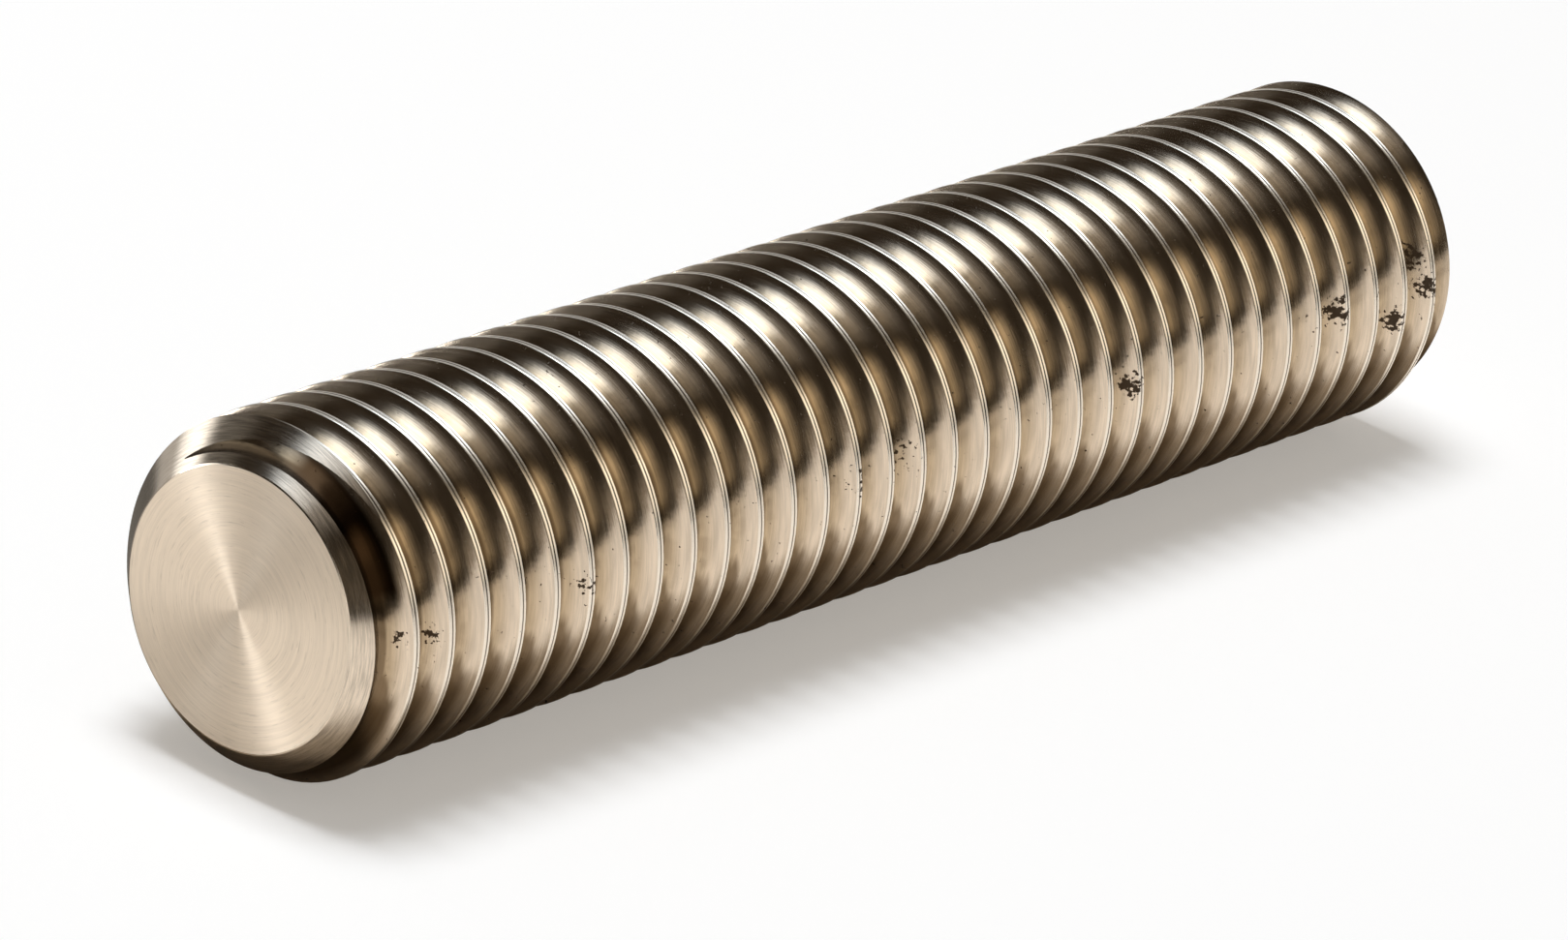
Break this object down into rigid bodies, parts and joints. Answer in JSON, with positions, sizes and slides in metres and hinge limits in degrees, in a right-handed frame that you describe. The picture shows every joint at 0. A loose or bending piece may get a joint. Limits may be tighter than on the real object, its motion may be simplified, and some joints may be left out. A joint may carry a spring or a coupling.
{
  "type": "threaded rod",
  "caption": "Short piece of steel threaded rod with a coarse right-hand thread from end to end and a turned, chamfered face at each end.",
  "frame": {"origin": "centre of the bottom end face", "axes": "+Z along the rod's axis, from the bottom end face to the top end face; the rod stands on its end"},
  "size_m": [0.018, 0.018, 0.086],
  "materials": {
    "steel": "bare machined steel, rolled thread flanks, turned end faces, a few dark specks of dirt"
  },
  "bodies": {
    "root": {"threaded_rod": "steel"}
  },
  "joints": []
}
